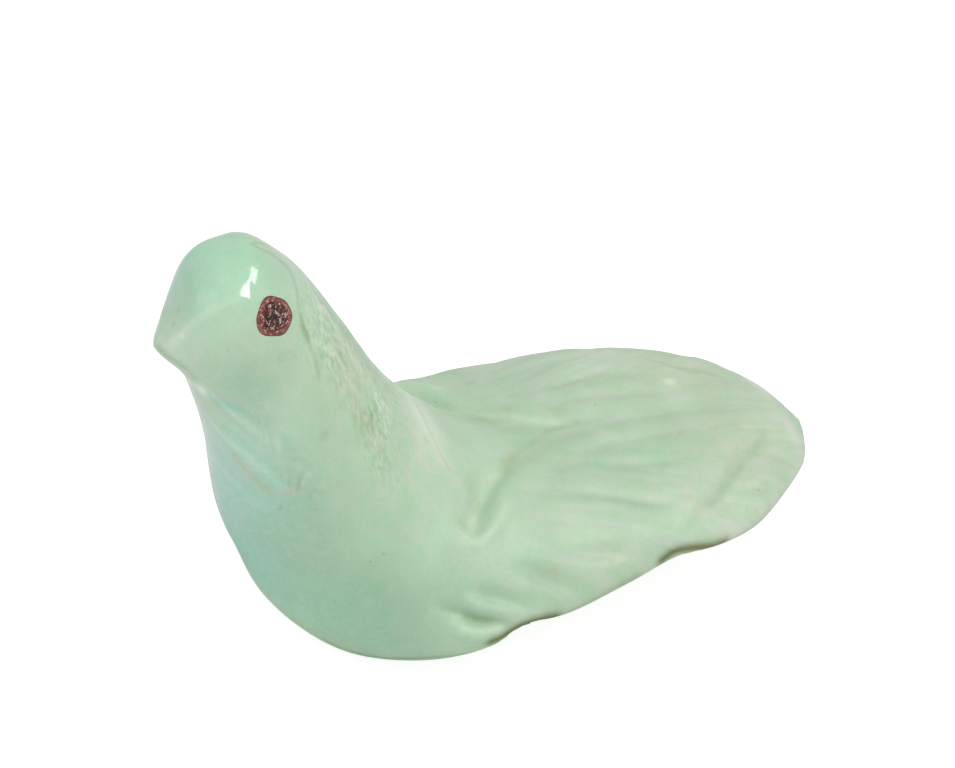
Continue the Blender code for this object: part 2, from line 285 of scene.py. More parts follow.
def hand_wear(points):
    """Stone lost to the rasp and to the rubbing: two fields of waves, one long and one short."""
    rasped = RASP_DEPTH * waves(points, RASP_WAVE, RASP_SEED)
    return rasped + RUB_DEPTH * waves(points, RUB_WAVE, RUB_SEED)


def carved(along, around):
    """The finished surface: skin minus normal * (cuts + wear)."""
    points = skin(along, around)
    normals = outward(along, around)
    depth = all_cuts(points, normals)
    return points - normals * (depth + hand_wear(points))[..., None], depth


print("rasp waves", RASP_DEPTH / MM, "mm deep, rubbing", RUB_DEPTH / MM, "mm")

# %% [markdown]
# The mesh of the stone
#
# The two parameters of the skin become a grid. The rings stand closer towards the
# beak, because the head holds the finest detail. The points of a ring are spaced by
# the widest girth, and half as densely below it, where nothing small is carved.

# %% Grid over the skin
RINGS = 318
RING_EASE = 1.2  # 1 spaces the rings evenly, more sets them closer towards the beak
AROUND = 300
GIRTH_AT = 9.0  # the section whose girth spaces the points round every ring
GIRTH_STEPS = 1440
UNDERSIDE_SHARE = 0.5  # how densely the points lie below, against above


def ring_places():
    """Section numbers of the rings: walk * share^RING_EASE from beak to tail."""
    share = np.linspace(0, 1, RINGS + 2)[1:-1]
    return np.interp(REACH[-1] * share**RING_EASE, REACH, np.arange(LAST + 1))


def around_places():
    """Angles of the points in a ring, evenly spaced on the girth of one section."""
    fine = np.linspace(0, np.pi, GIRTH_STEPS + 1)
    girth = skin(np.full_like(fine, GIRTH_AT), fine)
    step = np.linalg.norm(np.diff(girth, axis=0), axis=1)
    step *= np.where(fine[1:] > np.pi / 2, UNDERSIDE_SHARE, 1.0)
    walked = np.concatenate([[0], np.cumsum(step)])
    half = np.interp(np.linspace(0, walked[-1], AROUND // 2 + 1), walked, fine)
    return np.concatenate([-half[::-1][:-1], half[:-1]])


ring_at = ring_places()[:, None]
angle_at = around_places()[None, :]
grid, grid_depth = carved(ring_at, angle_at)
print("grid of", grid.shape[0], "rings with", grid.shape[1], "points each")

# %% [markdown]
# Where the stone changes colour
#
# The stone is not one green. It is blue and dark low on the breast, minty on the
# head, and has a grey-pink veil over the wings. Olive veins and worn scratches
# cross it. Painted shade darkens the undersides below the wing rims, the lower
# outline of the breast and some grooves, and painted highlight lightens a few lips,
# the tail's outline and one spot on the far wing. Each wash is a soft round patch
# and each line a soft band along a track, given as a change of the stone's colour.
# Both are stored on the points of the mesh as one factor for red, green and blue.

# %% Washes and lines of colour
CHANGES = {  # what strength 1 adds to the factor of red, green and blue
    "mint": (-0.06, 0.11, 0.08),
    "blue": (-0.14, 0.03, 0.14),
    # deeper colour of the stone; the lines along the grooves use it as painted shade
    "deep": (-0.32, -0.20, -0.23),
    # grey-pink veil of the stone; the two lines round the tail use it as a painted pale rim of light
    "veil": (0.20, 0.07, 0.16),
    "warm": (0.10, -0.02, -0.04),
    # paler stone; one spot and two lips use it as painted highlight
    "pale": (0.26, 0.17, 0.22),
    # olive veins; one line along the wing's top groove uses it as painted shade
    "olive": (-0.22, -0.20, -0.32),
    # painted shade: dark undersides below the wing rims and along the lower outline
    "painted_shade": (-0.54, -0.55, -0.70),
    "rust": (0.10, -0.12, -0.22),
    "teal": (-0.26, -0.03, 0.0),
    "lilac": (-0.10, -0.18, 0.02),
    "bluish": (0.10, 0.14, 0.26),
    "rose": (0.20, -0.04, 0.04),
    "black": (-0.75, -0.72, -0.80),
}
WASHES = (
    # change, section number, degrees, reach in mm, strength
    ("mint", 2.9, 3, 4.5, 0.9),
    ("mint", 2.25, 27, 3.5, 0.5),
    ("blue", 1.9, -25, 2.6, 0.6),
    ("pale", 2.4, 72, 2.2, 0.25),
    ("pale", 1.2, 64, 1.6, 0.25),
    ("teal", 2.95, 92, 2.4, 0.5),
    ("olive", 3.2, 86, 3.2, 0.45),
    ("teal", 4.2, 80, 2.6, 0.15),
    ("pale", 1.8, 122, 0.7, 2.2),
    ("olive", 3.2, 10, 3.0, 0.25),
    ("mint", 3.4, 205, 3.0, 0.4),
    ("deep", 3.5, 22, 1.8, 0.3),
    ("deep", 2.3, 20, 4.2, 0.3),
    ("teal", 3.3, 150, 5.0, 0.25),
    ("warm", 5.0, 33, 3.0, 0.7),
    ("blue", 3.3, 150, 5.0, 0.9),
    ("blue", 4.4, 160, 5.0, 0.8),
    ("deep", 5.5, 98, 5.0, 0.45),
    ("deep", 4.7, 100, 2.2, 0.35),
    ("deep", 6.9, 90, 5.5, 0.95),
    ("teal", 5.6, 140, 3.2, 0.6),
    ("teal", 5.0, 158, 2.5, 0.3),
    ("mint", 6.3, 114, 3.0, 0.6),
    ("deep", 7.9, 66, 3.0, 0.3),
    ("deep", 8.65, 55, 2.2, 0.45),
    ("warm", 9.57, 69, 1.6, 0.6),
    ("veil", 6.9, 10, 3.4, 1.3),
    ("veil", 10.4, -25, 6.0, 0.5),
    ("warm", 11.6, 20, 5.0, 0.7),
    ("veil", 10.9, 57, 4.0, 0.6),
    ("veil", 9.4, 45, 4.0, 0.3),
    ("olive", 8.8, -30, 0.6, 0.5),
    ("olive", 9.6, -5, 0.6, 0.4),
    ("pale", 9.94, 3, 0.7, 0.35),
    ("pale", 10.27, 31, 0.7, 0.3),
    ("pale", 8.93, -15, 0.7, 0.35),
    # painted highlight: a soft pale spot on the far wing
    ("pale", 11.19, -14, 0.5, 1.5),
    ("olive", 8.52, 11, 0.9, 0.4),
    ("olive", 9.0, 10, 0.8, 0.25),
    ("veil", 12.4, 28, 3.0, 0.35),
    ("pale", 9.0, 47, 1.0, 0.25),
    ("rust", 8.79, 60, 0.6, 0.7),
    ("rust", 8.7, 6, 0.6, 0.4),
    ("rust", 10.57, 45, 0.45, 0.7),
    ("rust", 10.62, 53, 0.4, 0.5),
    ("rust", 2.62, 52, 0.35, 0.4),
    ("rose", 2.55, 28, 0.6, 0.35),
    ("pale", 1.23, 57, 0.25, 0.9),
    ("black", 4.77, 94, 0.2, 0.9),
    ("black", 4.96, 94, 0.12, 0.45),
    ("black", 4.6, 112, 0.18, 0.35),
    ("black", 5.64, 36, 0.12, 0.55),
    ("olive", 6.82, 21, 0.2, 0.8),
    ("olive", 4.8, 69, 0.45, 0.6),
    ("pale", 5.97, 34, 0.3, 0.9),
    ("pale", 4.79, 88, 0.3, 0.6),
    ("olive", 5.6, 40, 1.2, 0.7),
    ("pale", 7.8, 36, 0.9, 0.35),
)
LINES = (
    # change, width in mm, strength, track of section number and degrees
    ("olive", 0.16, 0.75, ((3.1, -2), (3.45, 3), (3.67, 5), (3.86, 8), (3.97, 14), (4.03, 22), (4.04, 31),
                           (4.1, 38))),
    ("olive", 0.16, 0.75, ((4.1, 38), (4.19, 41), (4.24, 43), (4.31, 46), (4.4, 49), (4.5, 53))),
    ("rust", 0.5, 0.3, ((3.45, 3), (3.7, 4), (3.9, 8))),
    ("olive", 0.26, 1.3, ((4.12, 41), (4.18, 43), (4.22, 44))),
    ("olive", 0.14, 0.35, ((4.37, 6), (4.5, 16), (4.64, 23), (4.79, 28), (4.94, 32))),
    ("pale", 0.3, 0.5, ((0.78, 50), (1.42, 53), (2.17, 53), (2.48, 49), (2.77, 45))),
    ("pale", 0.45, 0.6, ((0.3, 20), (0.35, 40), (0.5, 58), (0.9, 60))),
    ("olive", 0.3, 0.9, ((0.12, 70), (0.45, 92), (0.95, 104), (1.45, 112))),
    ("olive", 0.18, 1.1, ((0.98, 126), (1.31, 125), (1.65, 119), (2.1, 116))),
    ("olive", 0.2, 0.7, ((1.34, 20), (1.38, 20))),
    ("olive", 0.18, 0.6, ((1.0, 27), (1.04, 28))),
    ("olive", 0.12, 0.6, ((3.65, 66), (3.81, 61), (4.01, 56))),
    ("olive", 0.12, 0.6, ((3.69, 67), (3.89, 62), (4.05, 57))),
    ("bluish", 0.22, 0.85, ((1.65, 119), (2.15, 115), (2.92, 113), (3.4, 107), (3.85, 100), (4.22, 95),
                           (4.56, 91))),
    ("teal", 0.35, 0.85, ((2.05, 119), (2.73, 110), (3.3, 103), (3.8, 96), (4.2, 91))),
    ("lilac", 0.22, 0.4, ((2.34, 119), (3.18, 114), (3.55, 108), (3.85, 104), (4.1, 100))),
    ("bluish", 0.26, 0.8, ((2.21, 144), (2.67, 135), (3.12, 127), (3.54, 119), (3.9, 113), (4.21, 108),
                           (4.5, 104))),
    ("teal", 0.25, 0.6, ((2.72, 126), (3.2, 119), (3.69, 112), (4.07, 106), (4.37, 103))),
    ("bluish", 0.3, 0.45, ((3.01, 166), (3.25, 152), (3.61, 138), (4.05, 127), (4.38, 121))),
    ("rust", 0.22, 1.3, ((3.24, 130), (3.46, 126), (3.68, 123), (3.94, 119), (4.13, 116), (4.3, 113))),
    ("rust", 0.16, 0.3, ((4.07, 103), (4.23, 102), (4.38, 102), (4.55, 99), (4.7, 96))),
    ("olive", 0.12, 0.6, ((4.5, 101), (4.7, 96), (4.94, 90), (5.17, 83))),
    ("rose", 0.3, 1.3, ((4.45, 107), (4.58, 104), (4.74, 98))),
    ("pale", 0.4, 0.35, ((1.03, 118), (1.42, 126), (1.86, 125))),
    ("veil", 0.4, 1.0, ((4.43, 16), (4.69, 19), (4.97, 22), (5.29, 23), (5.64, 23), (5.98, 25))),
    ("veil", 0.3, 0.6, ((4.59, 35), (4.85, 36), (5.12, 37), (5.43, 37))),
    ("lilac", 0.5, 0.5, ((4.5, 10), (5.0, 12), (5.5, 12), (6.0, 12))),
    ("rose", 0.25, 0.5, ((5.15, 41), (5.41, 41), (5.69, 42), (6.0, 43))),
    ("rose", 0.25, 0.7, ((6.4, 9), (6.47, 17), (6.58, 25), (6.76, 32))),
    ("veil", 0.5, 0.6, ((6.58, 4), (6.83, 14), (7.23, 24), (7.64, 30), (7.87, 37))),
    ("olive", 0.2, 0.5, ((6.77, 3), (6.89, 13), (7.06, 20), (7.32, 25))),
    ("rose", 0.25, 0.4, ((6.17, 34), (6.37, 38), (6.59, 42))),
    ("pale", 0.3, 0.5, ((6.29, 1), (7.75, -24), (8.25, -18), (8.6, -12), (8.91, -8), (9.26, -4),
                        (9.66, -1))),
    ("pale", 0.6, 0.6, ((7.64, 46), (7.78, 39), (7.95, 31), (8.2, 18), (8.42, 12))),
    # painted shade in the groove at the front of the wing
    ("deep", 0.4, 0.35, ((7.94, 36), (8.18, 25), (8.4, 16), (8.7, 8))),
    # painted highlight along the lip of the shoulder
    ("pale", 0.35, 0.35, ((7.7, 48), (7.92, 44), (8.08, 39), (8.23, 33), (8.32, 28))),
    ("olive", 0.22, 0.5, ((7.54, 41), (7.66, 42))),
    # painted highlight just below the last feather groove
    ("pale", 0.5, 0.5, ((7.74, 78), (7.99, 81), (8.17, 83), (8.33, 85))),
    # painted pale rim of light along the outline round the tail
    ("veil", 0.9, 0.7, ((10.17, -50), (10.64, -46), (11.25, -44), (11.82, -38), (12.36, -24),
                        (12.88, -2), (12.96, 36))),
    ("veil", 0.9, 0.7, ((12.96, 30), (12.95, 64), (12.48, 87), (11.8, 83), (11.3, 82), (10.88, 85))),
    ("pale", 0.4, 0.3, ((10.83, 57), (11.14, 51), (11.54, 37), (11.84, 26), (12.32, 18))),
    # painted shade on the undersides below the wing rims, at the two notches and between them
    ("painted_shade", 0.5, 1.3, ((8.3, 91), (8.45, 89.5), (8.6, 87.5), (8.8, 88), (8.9, 89))),
    ("painted_shade", 0.4, 0.35, ((8.98, 90), (9.12, 91), (9.28, 90), (9.49, 89), (9.83, 88))),
    ("painted_shade", 0.5, 1.3, ((10.12, 86), (10.25, 82.5), (10.4, 83), (10.69, 89), (10.89, 90))),
    # painted shade in the groove at the end of the wing
    ("deep", 0.4, 0.5, ((12.13, 20), (11.92, 26), (11.53, 34), (11.18, 43), (10.85, 52))),
    ("veil", 0.6, 0.4, ((12.07, 34), (11.72, 41), (11.39, 47), (11.16, 53))),
    # painted shade along the groove over the top of the wing
    ("olive", 0.35, 0.45, ((8.6, 8), (8.9, 4), (9.3, 0), (9.75, -1))),
    # painted shade in three feather grooves
    ("deep", 0.45, 0.3, ((9.2, 16), (9.71, 17), (10.18, 22), (10.48, 24))),
    ("deep", 0.45, 0.2, ((9.64, 12), (10.25, 16), (10.85, 20))),
    ("deep", 0.45, 0.2, ((9.22, 30), (9.64, 34), (10.08, 43))),
    # painted shade along the lower outline of the breast
    ("painted_shade", 0.25, 0.45, ((6.64, 134), (6.85, 131), (7.06, 125), (7.44, 117), (7.84, 108), (8.14, 104))),
)


def paint(points, normals):
    """Factor of red, green and blue: 1 + sum of strength * exp(-(distance / reach)^2) * change.

    A wash or line on the left side, at positive angles, is mirrored to the right.
    """
    mirror = np.where(points[..., :1] < 0, np.array([-1.0, 1.0, 1.0]), 1.0)
    factor = np.ones(points.shape)
    for change, along, degrees, reach, strength in WASHES:
        side = mirror if degrees > 0 else 1.0
        away = np.linalg.norm(points * side - skin(along, np.radians(degrees)), axis=-1)
        amount = strength * np.exp(-((away / (reach * MM)) ** 2))
        factor += amount[..., None] * np.array(CHANGES[change])
    for change, width, strength, track in LINES:
        side = mirror if track[-1][1] > 0 else 1.0
        away = beside_track(points * side, normals, track_line(track))[0]
        amount = strength * np.exp(-((away / (width * MM)) ** 2))
        factor += amount[..., None] * np.array(CHANGES[change])
    return factor


grid_tint = paint(skin(ring_at, angle_at), outward(ring_at, angle_at))
print(len(WASHES), "washes and", len(LINES), "lines")
print("factors from", grid_tint.min().round(2), "to", grid_tint.max().round(2))

# %% [markdown]
# Where the finish changes
#
# The head was polished most, the nape is worn, the breast was rubbed slantwise and
# the wings show the direction of the feathers. Each is a zone of the skin with soft
# edges, stored on the points as a number from 0 to 1, which the material reads. Two
# more numbers are stored: how deep the stone was cut, and how far a point lies
# across the feathers, so that streaks can follow their slant.

# %% Zones of finish
ZONE_EDGE = 0.5  # half the width of a zone's edge along the bird, in sections
ZONE_EDGE_TURN = 10.0  # the same across it, in degrees
ALL_ROUND = (-20.0, 200.0)  # degrees past the back line and the belly, so no edge shows


def rise(value, low, high):
    """Smooth step from 0 at low to 1 at high: t^2 (3 - 2t)."""
    t = np.clip((value - low) / (high - low), 0, 1)
    return t**2 * (3 - 2 * t)


def zone(along_low, along_high, degrees_low, degrees_high):
    """1 inside a range of sections and angles: the product of two steps up less two steps down."""
    degrees = np.degrees(np.abs(angle_at))
    lengthwise = (rise(ring_at, along_low - ZONE_EDGE, along_low + ZONE_EDGE)
                  - rise(ring_at, along_high - ZONE_EDGE, along_high + ZONE_EDGE))
    crosswise = (rise(degrees, degrees_low - ZONE_EDGE_TURN, degrees_low + ZONE_EDGE_TURN)
                 - rise(degrees, degrees_high - ZONE_EDGE_TURN, degrees_high + ZONE_EDGE_TURN))
    return lengthwise * crosswise


FEATHER_SLANT = 0.4  # how far a feather moves outwards for each step backwards
SLANT_FROM = 1.0 * MM  # from the middle of the back, where the feathers lie straight
SLANT_FULL = 6.0 * MM
from_back = np.abs(grid[..., 0])
across = from_back - FEATHER_SLANT * grid[..., 1] * rise(from_back, SLANT_FROM, SLANT_FULL)
marks = {
    "carved_depth": grid_depth / MM,
    "wing": zone(8.6, LAST + 1.0, *ALL_ROUND),
    "nape": zone(4.2, 6.3, ALL_ROUND[0], 50.0),
    "breast": zone(2.6, 7.4, 84.0, ALL_ROUND[1]),
    "gloss": zone(-1.0, 4.3, *ALL_ROUND),
    "feather_across": across / MM,
}
print("marks on the points:", ", ".join(marks))

# %% [markdown]
# From grid to stone
#
# Faces join each ring to the next, and one point at the beak and one at the tail
# close the ends with a fan of triangles. The belly is then cut off flat at z = 0,
# where the real bird was rubbed on a stone until it stood. The same helpers make
# the eyes.


# %% From grid to closed mesh
def closed_grid(points, first, last):
    """Vertices and faces of a grid that wraps round and ends in one point at each end."""
    rings, count = points.shape[:2]
    verts = np.concatenate([points.reshape(-1, 3), [first, last]])
    here = np.arange(rings * count).reshape(rings, count)
    after = np.roll(here, -1, axis=1)
    quads = np.stack([here[:-1], here[1:], after[1:], after[:-1]], axis=-1).reshape(-1, 4)
    front = np.stack([np.full(count, rings * count), here[0], after[0]], axis=-1)
    rear = np.stack([np.full(count, rings * count + 1), after[-1], here[-1]], axis=-1)
    return verts, quads.tolist() + np.concatenate([front, rear]).tolist()


def mesh_object(name, verts, faces):
    """A named object from arrays of vertices and faces."""
    mesh = bpy.data.meshes.new(name)
    mesh.from_pydata(verts.tolist(), [], faces)
    mesh.validate()
    thing = bpy.data.objects.new(name, mesh)
    bpy.context.scene.collection.objects.link(thing)
    return thing


def cut_flat_below(thing, height):
    """Cuts a closed mesh at a height, keeps what is above and closes the cut."""
    bm = bmesh.new()
    bm.from_mesh(thing.data)
    bmesh.ops.bisect_plane(bm, geom=bm.verts[:] + bm.edges[:] + bm.faces[:],
                           plane_co=(0, 0, height), plane_no=(0, 0, -1), clear_outer=True)
    rim = [edge for edge in bm.edges if edge.is_boundary]
    bmesh.ops.edgeloop_fill(bm, edges=rim)
    bm.to_mesh(thing.data)
    bm.free()
    turn_faces_outward(thing)


def turn_faces_outward(thing):
    """Turns every face of a closed mesh outwards."""
    bm = bmesh.new()
    bm.from_mesh(thing.data)
    bmesh.ops.recalc_face_normals(bm, faces=bm.faces)
    bm.to_mesh(thing.data)
    bm.free()


def mark_points(thing, name, kind, values):
    """Stores one value or one colour on every point of a mesh."""
    layer = thing.data.attributes.new(name, kind, "POINT")
    field = "color" if kind == "FLOAT_COLOR" else "value"
    layer.data.foreach_set(field, values.astype(np.float32).ravel())


# %% The stone
bird = mesh_object("bird_stone", *closed_grid(grid, skin(0.0, 0.0), skin(float(LAST), 0.0)))
for name, values in marks.items():
    values = np.broadcast_to(values, grid.shape[:2]).ravel()
    mark_points(bird, name, "FLOAT", np.append(values, [values[0], values[-1]]))
tint = grid_tint.reshape(-1, 3)
tint = np.concatenate([tint, tint[:1], tint[-1:]])
mark_points(bird, "tint", "FLOAT_COLOR", np.column_stack([tint, np.ones(len(tint))]))
cut_flat_below(bird, 0.0)
print("stone:", len(bird.data.vertices), "vertices,", len(bird.data.polygons), "faces")

# %% [markdown]
# The inlaid eyes
#
# Each eye is a plug of dark crushed stone in a drilled hole, ground flush with
# the head. Its face is therefore a round patch of the head's own surface, and the
# outline is a little uneven, as a hand-held drill leaves it. The patch is found by
# walking from the eye's place along the skin's own slopes, and the hole is cut
# with the same outline, a hair wider.

# %% Places of the eyes
EYE_PLACE = (3.52, 49.0)  # section number and degrees from the back line
EYE_RADIUS = 1.43 * MM
EYE_DEPTH = 1.5 * MM
GLUE_LINE = 0.03 * MM
FACE_RINGS = 26
FACE_POINTS = 120
# How uneven the drilled outline is: order, share of the radius, turn in radians.
UNEVEN = ((2, 0.02, 0.4), (3, 0.045, -1.6), (4, 0.03, 1.4), (6, 0.02, 2.7))
SLOPE_STEP = 1e-3  # step in section number and in radians for the slopes
CORRECTIONS = 4  # times that a place on the skin is improved


def skin_slopes(place):
    """How the skin moves with the section number and with the angle, at one place."""
    along, around = place
    lengthwise = (skin(along + SLOPE_STEP, around) - skin(along - SLOPE_STEP, around)) / (2 * SLOPE_STEP)
    crosswise = (skin(along, around + SLOPE_STEP) - skin(along, around - SLOPE_STEP)) / (2 * SLOPE_STEP)
    return lengthwise, crosswise


def eye_outline(angles):
    """Radius of the drilled hole against the angle: 1 + sum of stray * cos(order * angle + turn)."""
    return 1 + sum(stray * np.cos(order * angles + turn) for order, stray, turn in UNEVEN)


def patch_on_head(side, radii):
    """Points of the head on rings round the eye's place, and the eye's outward axis.

    A point at (u, v) in the tangent plane is found on the skin by solving
    u, v = slopes * (section step, angle step) and then correcting what is left over.
    """
    place = np.array([EYE_PLACE[0], np.radians(EYE_PLACE[1]) * side])
    middle = carved(place[0], place[1])[0]
    axis = outward(place[0], place[1])
    lengthwise, crosswise = skin_slopes(place)
    slopes = np.column_stack([lengthwise, crosswise])
    inverse = np.linalg.pinv(slopes)
    first = lengthwise - (lengthwise @ axis) * axis
    first /= np.linalg.norm(first)
    second = np.cross(axis, first)
    angles = np.linspace(0, 2 * np.pi, FACE_POINTS, endpoint=False)
    reach = radii[:, None] * eye_outline(angles)[None, :]
    wanted = reach[..., None] * (np.cos(angles)[:, None] * first + np.sin(angles)[:, None] * second)
    at = place + wanted @ inverse.T
    for _ in range(CORRECTIONS):
        found = carved(at[..., 0], at[..., 1])[0] - middle
        found -= (found @ axis)[..., None] * axis
        at = at + (wanted - found) @ inverse.T
    return carved(at[..., 0], at[..., 1])[0], middle, axis


print("eyes", 2 * EYE_RADIUS / MM, "mm across")

# %% Sockets and inlays
GRAIN = 0.03 * MM  # height of the crushed grains in the eye's face
COARSE_RELIEF = 0.35 * MM
FINE_RELIEF = 0.18 * MM
FINE_SHARE = 0.7
RELIEF_SEEDS = (31, 32)
PIT_RADIUS = 0.22 * MM
PIT_DEPTH = 0.12 * MM
WALL_STEPS = 5
SOCKET_LIFT = 0.8 * MM  # how far the cutter stands out of the head


def plug(name, side, radius, lift, depth, grain):
    """A closed plug: the patch of the head as its face, a straight wall and a flat back."""
    shares = np.sqrt(np.linspace(0, 1, FACE_RINGS + 1)[1:])
    face, middle, axis = patch_on_head(side, radius * shares)
    away = np.linalg.norm(face - middle, axis=-1)
    face = face + axis * lift
    if grain:
        rough = waves(face, COARSE_RELIEF, RELIEF_SEEDS[0])
        rough += FINE_SHARE * waves(face, FINE_RELIEF, RELIEF_SEEDS[1])
        face = face - axis * (grain * rough)[..., None]
        face = face - axis * (PIT_DEPTH * np.exp(-((away / PIT_RADIUS) ** 2)))[..., None]
    rim = face[-1]
    floor = rim - axis * (((rim - middle) @ axis)[:, None] + depth)
    wall = rim + (floor - rim) * np.linspace(0, 1, WALL_STEPS + 1)[1:, None, None]
    back = middle - axis * depth
    tip = middle + axis * (lift - (PIT_DEPTH + grain if grain else 0.0))
    thing = mesh_object(name, *closed_grid(np.concatenate([face, wall]), tip, back))
    turn_faces_outward(thing)
    share = np.concatenate([np.repeat(shares, FACE_POINTS), np.ones(WALL_STEPS * FACE_POINTS), [0.0, 1.0]])
    mark_points(thing, "from_middle", "FLOAT", share)
    return thing


eyes = []
for side, name in ((1, "left"), (-1, "right")):
    cutter = plug("socket_cutter", side, EYE_RADIUS + GLUE_LINE, SOCKET_LIFT, EYE_DEPTH + GLUE_LINE, 0.0)
    hole = bird.modifiers.new("socket", "BOOLEAN")
    hole.object = cutter
    hole.solver = "EXACT"
    bpy.context.view_layer.update()
    with_hole = bird.evaluated_get(bpy.context.evaluated_depsgraph_get())
    cut_mesh = bpy.data.meshes.new_from_object(with_hole)
    bird.modifiers.clear()
    bird.data = cut_mesh
    bpy.data.objects.remove(cutter)
    eyes.append(plug("eye_inlay_" + name, side, EYE_RADIUS, 0.0, EYE_DEPTH, GRAIN))
print("stone with sockets:", len(bird.data.vertices), "vertices")
print("still stored on them:", ", ".join(name for name in marks if name in bird.data.attributes))

# %% [markdown]
# Placing the pieces
#
# Each new piece moves with the one body of the bird and stands in for a node of the
# imported model, which is hidden. All three are shaded smooth, apart from real edges
# such as the rim of a socket.

# %% Bodies and nodes
SHARP_ANGLE = 50.0  # degrees between two faces, past which their edge stays sharp

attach(bird, "root")
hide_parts("bird_body")
for eye, name in zip(eyes, ("left", "right")):
    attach(eye, "root")
    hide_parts("eye_" + name)
for piece in (bird, *eyes):
    piece.data.shade_smooth()
    piece.data.set_sharp_from_angle(angle=np.radians(SHARP_ANGLE))
print("pieces:", bird.name, [eye.name for eye in eyes])

# %% [markdown]
# A helper for materials
#
# A material is a graph of nodes. Written out by hand, each node takes several lines
# for its type, its settings and its links. One small class does that in one call,
# so that the recipes below read as a list of steps: a noise, a fade, a blend.


# %% Shader nodes in one call each
class Recipe:
    """A material under construction: each method adds one node and gives back its output."""

    def __init__(self, name):
        self.material = bpy.data.materials.new(name)
        self.material.use_nodes = True
        self.nodes = self.material.node_tree.nodes
        self.links = self.material.node_tree.links
        self.shader = self.nodes["Principled BSDF"]

    def node(self, kind, inputs, out=0, **settings):
        """Adds a node, sets its properties, then fills or links its inputs."""
        node = self.nodes.new("ShaderNode" + kind)
        for name, value in settings.items():
            setattr(node, name, value)
        for key, value in inputs.items():
            self.put(node.inputs[key], value)
        return node.outputs[out]

    def put(self, socket, value):
        """Links an output to a socket, or sets the socket to a constant."""
        if isinstance(value, bpy.types.NodeSocket):
            self.links.new(value, socket)
        elif isinstance(value, tuple) and len(value) == 3 and socket.type == "RGBA":
            socket.default_value = (*value, 1.0)
        else:
            socket.default_value = value

    def finish(self, **inputs):
        """Fills the shader's own inputs, their names written with _ for a space."""
        for name, value in inputs.items():
            self.put(self.shader.inputs[name.replace("_", " ")], value)
        return self.material

    def place(self):
        """Object coordinates, in metres."""
        return self.node("TexCoord", {}, "Object")

    def mark(self, name, out="Fac"):
        """A value or colour stored on the points of the mesh."""
        return self.node("Attribute", {}, out, attribute_name=name)

    def stretch(self, vector, scale, turn=0.0):
        """Turns the coordinates by an angle about X and scales them along each axis."""
        turned = (np.radians(turn), 0.0, 0.0)
        return self.node("Mapping", {"Vector": vector, "Scale": scale, "Rotation": turned})

    def noise(self, vector, size, detail=2.0, rough=0.5):
        """Perlin noise from 0 to 1 whose lumps are about size across."""
        inputs = {"Vector": vector, "Scale": 1 / size, "Detail": detail, "Roughness": rough}
        return self.node("TexNoise", inputs)

    def cells(self, vector, size):
        """A Voronoi node whose cells are about size across."""
        node = self.nodes.new("ShaderNodeTexVoronoi")
        self.put(node.inputs["Vector"], vector)
        self.put(node.inputs["Scale"], 1 / size)
        return node

    def fade(self, value, low, high, bottom=0.0, top=1.0):
        """Smooth step of a value: bottom at low, top at high."""
        inputs = {"Value": value, "From Min": low, "From Max": high, "To Min": bottom, "To Max": top}
        return self.node("MapRange", inputs, interpolation_type="SMOOTHSTEP")

    def maths(self, operation, a, b):
        """One step of arithmetic on two values."""
        return self.node("Math", {0: a, 1: b}, operation=operation)

    def blend(self, factor, a, b, kind="MIX"):
        """Mixes two colours by a factor, or multiplies them to that degree."""
        return self.node("Mix", {"Factor": factor, 6: a, 7: b}, 2, data_type="RGBA", blend_type=kind)

    def tone(self, colour, factors, degree=1.0):
        """Multiplies a colour by factors of red, green and blue, to a degree from 0 to 1."""
        return self.blend(degree, colour, factors, "MULTIPLY")


print("shader helper ready")

# %% [markdown]
# The finish of the stone
#
# Pale green stone of this kind is a fine mixture of clay-like minerals. Its colour
# drifts over a few millimetres, is flecked at about one millimetre, and shows long
# streaks where rasp and rubbing drew it out: along the feathers on the wings, down
# the neck, and slantwise over the breast. Noise that is stretched in one direction
# makes such streaks. The body was rubbed dull. The head was polished most, and a
# clear coat on the material gives it a sharp highlight. Light sinks a little way
# into the stone before it comes back.
#
# Noise lies mostly between 0.35 and 0.65, so each fade of it runs between values
# near those. A pair of colours holds the factors at the two ends of such a fade.

# %% Stone
STONE = (0.465, 0.634, 0.451)
DRIFT_SIZE = 5.0 * MM  # lumps of the slow change of colour
FLECK_SIZE = 1.1 * MM
GRAIN_SIZE = 0.3 * MM
WING_STREAK_LENGTH = 7.0 * MM
WING_STREAK_WIDTH = 1.0  # in the units of feather_across, which are millimetres
NECK_STREAK_WIDTH = 0.32 * MM
NAPE_PATCH_SIZE = 2.4 * MM
BREAST_STREAK_WIDTH = 0.4 * MM
SPECK_SPACING = 1.5 * MM
SPECK = (0.22, 0.26, 0.15)
RELIEF_SIZE = 0.5 * MM
RELIEF_HEIGHT = 0.02 * MM
DULL_SIZE = 1.6 * MM

stone = Recipe("pale green stone")
place = stone.place()

drift = stone.fade(stone.noise(place, DRIFT_SIZE), 0.35, 0.65)
colour = stone.blend(drift, tuple(0.97 * c for c in STONE), tuple(1.03 * c for c in STONE))
colour = stone.tone(colour, stone.mark("tint", "Color"))
flecks = stone.fade(stone.noise(place, FLECK_SIZE, 4.0, 0.6), 0.36, 0.64)
colour = stone.tone(colour, stone.blend(flecks, (0.95, 1.0, 0.97), (1.05, 1.0, 1.03)))
grain = stone.fade(stone.noise(place, GRAIN_SIZE, 3.0, 0.7), 0.3, 0.7)
colour = stone.tone(colour, stone.blend(grain, (0.97, 0.98, 0.96), (1.03, 1.02, 1.04)))
print("base colour, drift, flecks and grain")

